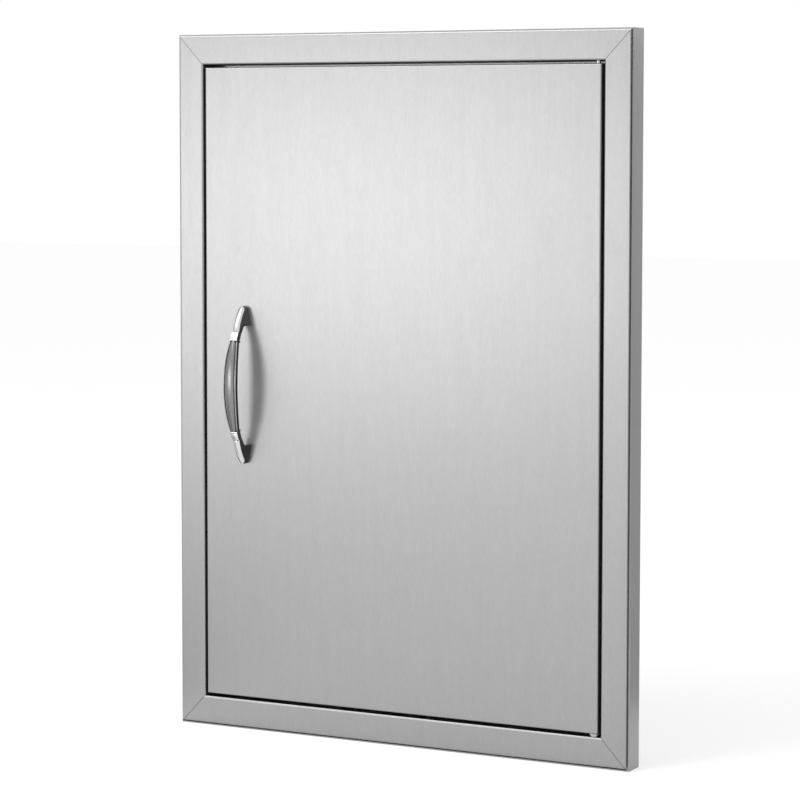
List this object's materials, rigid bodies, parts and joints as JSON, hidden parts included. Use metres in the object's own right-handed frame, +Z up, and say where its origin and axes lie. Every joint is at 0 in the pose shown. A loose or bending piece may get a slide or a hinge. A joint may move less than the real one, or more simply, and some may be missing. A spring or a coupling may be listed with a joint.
{
  "type": "bbq island access door",
  "caption": "Brushed stainless access door for an outdoor kitchen island: mitred folded frame, hinged double-skin door with a bowed pull handle and a magnetic catch.",
  "frame": {"origin": "on the plane of the frame's rear lips, which rests on the island's wall, in the middle of the width and at the middle height of the bottom rail's rear lip", "axes": "+Z up, +Y into the island (the door faces -Y), +X towards the hinge side, which is on the right when facing the door"},
  "size_m": [0.4318, 0.0783, 0.6096],
  "materials": {
    "stainless_brushed": "fine linear brushing, satin",
    "stainless_polished": "polished casting",
    "stainless_plain": "mill finish sheet",
    "zinc_plated_steel": "bright zinc plate",
    "rivet_aluminium": "plain",
    "acetal_black": "moulded, satin",
    "acetal_white": "moulded, satin",
    "ferrite": "sintered, dark grey",
    "rubber_grey": "moulded"
  },
  "bodies": {
    "frame": {"frame_top_rail": "stainless_brushed", "frame_bottom_rail": "stainless_brushed", "frame_left_stile": "stainless_brushed", "frame_right_stile": "stainless_brushed", "frame_corner_gussets": "stainless_plain", "pivot_backing_plates": "zinc_plated_steel", "lower_pivot_pin": "zinc_plated_steel", "lower_pivot_nut": "zinc_plated_steel", "lower_thrust_washer": "zinc_plated_steel", "upper_pivot_bush": "acetal_white", "catch_housing": "acetal_white", "catch_magnet": "ferrite", "catch_pole_plates": "zinc_plated_steel", "catch_screws": "zinc_plated_steel", "door_bumpers": "rubber_grey"},
    "door": {"door_front_pan": "stainless_brushed", "door_back_panel": "stainless_brushed", "door_stiffeners": "stainless_plain", "handle_backing_plate": "zinc_plated_steel", "lower_hinge_plate": "zinc_plated_steel", "lower_pivot_bush": "acetal_white", "upper_hinge_bracket": "zinc_plated_steel", "bolt_guide_bush": "acetal_white", "bolt_spring": "stainless_plain", "catch_strike_plate": "zinc_plated_steel", "strike_rivets": "rivet_aluminium", "back_panel_rivets": "rivet_aluminium", "handle_grip": "stainless_brushed", "handle_upper_post": "stainless_polished", "handle_lower_post": "stainless_polished", "handle_collars": "stainless_polished", "handle_screws": "zinc_plated_steel", "handle_lock_washers": "zinc_plated_steel"},
    "bolt": {"hinge_bolt": "stainless_plain", "bolt_retaining_clip": "stainless_plain", "bolt_knob": "acetal_black"}
  },
  "joints": [
    {"name": "door_swing", "type": "hinge", "parent": "frame", "child": "door", "pos_m": [0.1837, -0.0188, 0.2998], "axis": [0, 0, 1], "range_deg": [0, 110]},
    {"name": "hinge_bolt_slide", "type": "slide", "parent": "door", "child": "bolt", "axis": [0, 0, -1], "range_m": [0, 0.008], "stiffness_N_per_m": 400, "springref_m": -0.01, "deforming": ["bolt_spring"]}
  ]
}
